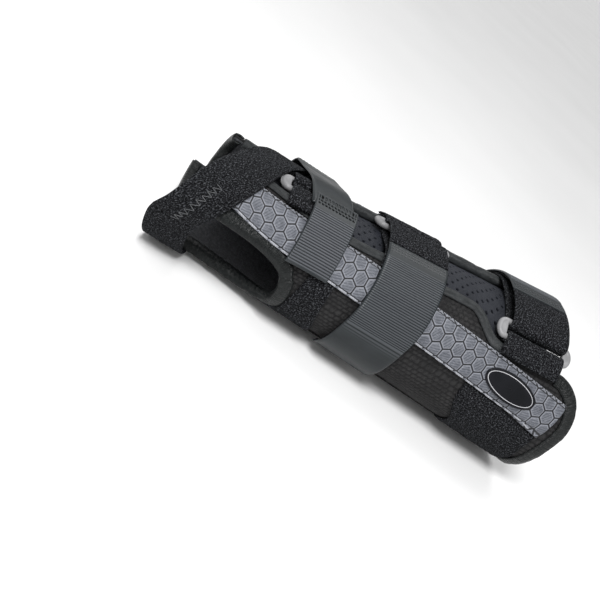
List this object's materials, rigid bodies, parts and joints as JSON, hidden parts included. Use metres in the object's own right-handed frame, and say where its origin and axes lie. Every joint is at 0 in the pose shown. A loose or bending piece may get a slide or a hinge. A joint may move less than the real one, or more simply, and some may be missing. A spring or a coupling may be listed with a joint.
{
  "type": "wrist splint",
  "caption": "Wrap-around wrist splint for a right hand: stayed sleeve with a thumb opening, web strap, ring-and-hook straps and a dorsal tongue.",
  "frame": {"origin": "on the flat underside of the palm stay's pocket, under the wrist crease", "axes": "+X along the forearm towards the elbow, -Y towards the thumb side, +Z towards the back of the hand"},
  "size_m": [0.2479, 0.1019, 0.0901],
  "materials": {
    "spacer_mesh": "dull black spacer mesh",
    "terry_lining": "dark grey terry",
    "neoprene": "matte perforated neoprene",
    "smooth_tape": "smooth woven tape with a soft sheen",
    "edge_tape": "soft stretch binding with a slight sheen",
    "plastic_stay": "plain moulded plastic",
    "hexagon_fabric": "light grey woven with dark hexagon lines",
    "aluminium_stay": "brushed",
    "badge_plastic": "gloss black",
    "hook_sheet": "moulded hooks",
    "ring_plastic": "light grey, half gloss",
    "smooth_strap": "smooth and ribbed, satin",
    "loop_fabric": "brushed loop pile"
  },
  "bodies": {
    "brace": {"radial_panel": "spacer_mesh", "volar_panel": "spacer_mesh", "ulnar_panel": "spacer_mesh", "radial_liner": "terry_lining", "volar_liner": "terry_lining", "ulnar_liner": "terry_lining", "dorsal_tongue": "neoprene", "radial_binding": "smooth_tape", "ulnar_binding": "smooth_tape", "proximal_binding": "edge_tape", "thumb_binding": "edge_tape", "palm_binding": "edge_tape", "ulnar_front_binding": "edge_tape", "radial_stay": "plastic_stay", "ulnar_stay": "plastic_stay", "radial_stay_cover": "hexagon_fabric", "ulnar_stay_cover": "hexagon_fabric", "volar_stay_pocket": "spacer_mesh", "badge": "badge_plastic", "wrist_loop_patch": "loop_fabric", "forearm_loop_patch": "loop_fabric", "web_strap": "loop_fabric", "hand_strap_return": "smooth_strap", "hand_ring_anchor": "loop_fabric", "wrist_strap": "loop_fabric", "wrist_ring_anchor": "loop_fabric", "middle_strap": "loop_fabric", "middle_ring_anchor": "loop_fabric", "forearm_strap": "loop_fabric", "forearm_ring_anchor": "loop_fabric"},
    "hand_tab": {"hand_tab": "smooth_strap", "hand_tab_hook": "hook_sheet"},
    "middle_tab": {"middle_tab": "smooth_strap", "middle_tab_hook": "hook_sheet"},
    "forearm_tab": {"forearm_tab": "smooth_strap", "forearm_tab_hook": "hook_sheet"},
    "hand_ring": {"hand_ring": "ring_plastic"},
    "wrist_ring": {"wrist_ring": "ring_plastic"},
    "middle_ring": {"middle_ring": "ring_plastic"},
    "forearm_ring": {"forearm_ring": "ring_plastic"},
    "volar_stay": {"volar_stay": "aluminium_stay"}
  },
  "joints": [
    {"name": "hand_tab_peel", "type": "hinge", "parent": "brace", "child": "hand_tab", "pos_m": [-0.012, -0.01953, 0.0653], "axis": [-0.9937, -0.0218, -0.1099], "range_deg": [0, 80]},
    {"name": "middle_tab_peel", "type": "hinge", "parent": "brace", "child": "middle_tab", "pos_m": [0.038, -0.0144, 0.07259], "axis": [-0.9869, 0.0125, -0.1609], "range_deg": [0, 90]},
    {"name": "forearm_tab_peel", "type": "hinge", "parent": "brace", "child": "forearm_tab", "pos_m": [0.115, 0.00114, 0.08724], "axis": [0.9863, 0.0009, 0.1647], "range_deg": [0, 80]},
    {"name": "hand_ring_swing", "type": "hinge", "parent": "brace", "child": "hand_ring", "pos_m": [-0.02, 0.04667, 0.03959], "axis": [0.994, -0.0819, 0.0726], "range_deg": [-3, 3]},
    {"name": "wrist_ring_swing", "type": "hinge", "parent": "brace", "child": "wrist_ring", "pos_m": [-0.024, -0.00961, 0.06042], "axis": [0.994, 0.0119, 0.1089], "range_deg": [-3, 0]},
    {"name": "middle_ring_swing", "type": "hinge", "parent": "brace", "child": "middle_ring", "pos_m": [0.038, 0.01466, 0.06813], "axis": [0.9867, 0.0098, 0.1624], "range_deg": [-3, 3]},
    {"name": "forearm_ring_swing", "type": "hinge", "parent": "brace", "child": "forearm_ring", "pos_m": [0.115, -0.02991, 0.07344], "axis": [0.9884, -0.0233, 0.1504], "range_deg": [-3, 3]},
    {"name": "volar_stay_slide", "type": "slide", "parent": "brace", "child": "volar_stay", "axis": [1, 0, 0], "range_m": [0, 0.19]}
  ]
}
